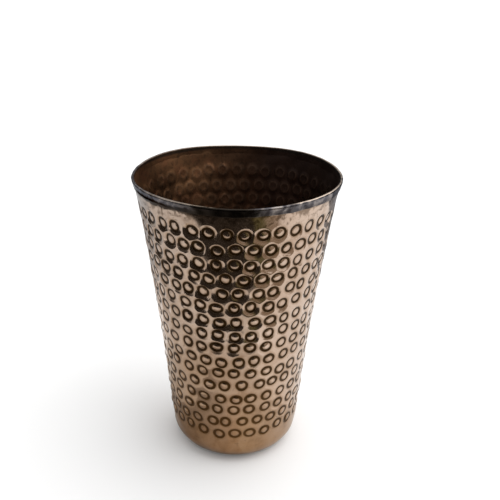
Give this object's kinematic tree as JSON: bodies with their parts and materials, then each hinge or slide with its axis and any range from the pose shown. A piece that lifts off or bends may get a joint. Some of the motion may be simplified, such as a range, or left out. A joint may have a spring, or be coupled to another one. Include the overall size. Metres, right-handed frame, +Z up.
{
  "type": "drinking tumbler",
  "caption": "Tapered drinking tumbler of hammered copper-alloy sheet: ring-punched wall, rounded heel, let-in base disc and a folded binding strip over the mouth.",
  "frame": {"origin": "centre of the standing ring, on the surface that the tumbler stands on", "axes": "+Z up along the tumbler's axis, towards the mouth; the side seam faces 9 degrees from +Y towards -X"},
  "size_m": [0.085, 0.085, 0.125],
  "materials": {
    "hammered_sheet": "hammered, worn bright outside with dark patina in the marks, oxidised brown inside",
    "binding_sheet": "dark tarnished strip, burnished along the lip",
    "base_sheet": "dull, oxidised sheet",
    "braze": "dull yellow brazing metal, filed flush"
  },
  "bodies": {
    "root": {"wall_sleeve": "hammered_sheet", "rim_binding": "binding_sheet", "base_disc": "base_sheet", "side_seam_braze": "braze", "base_seam_braze": "braze"}
  },
  "joints": []
}
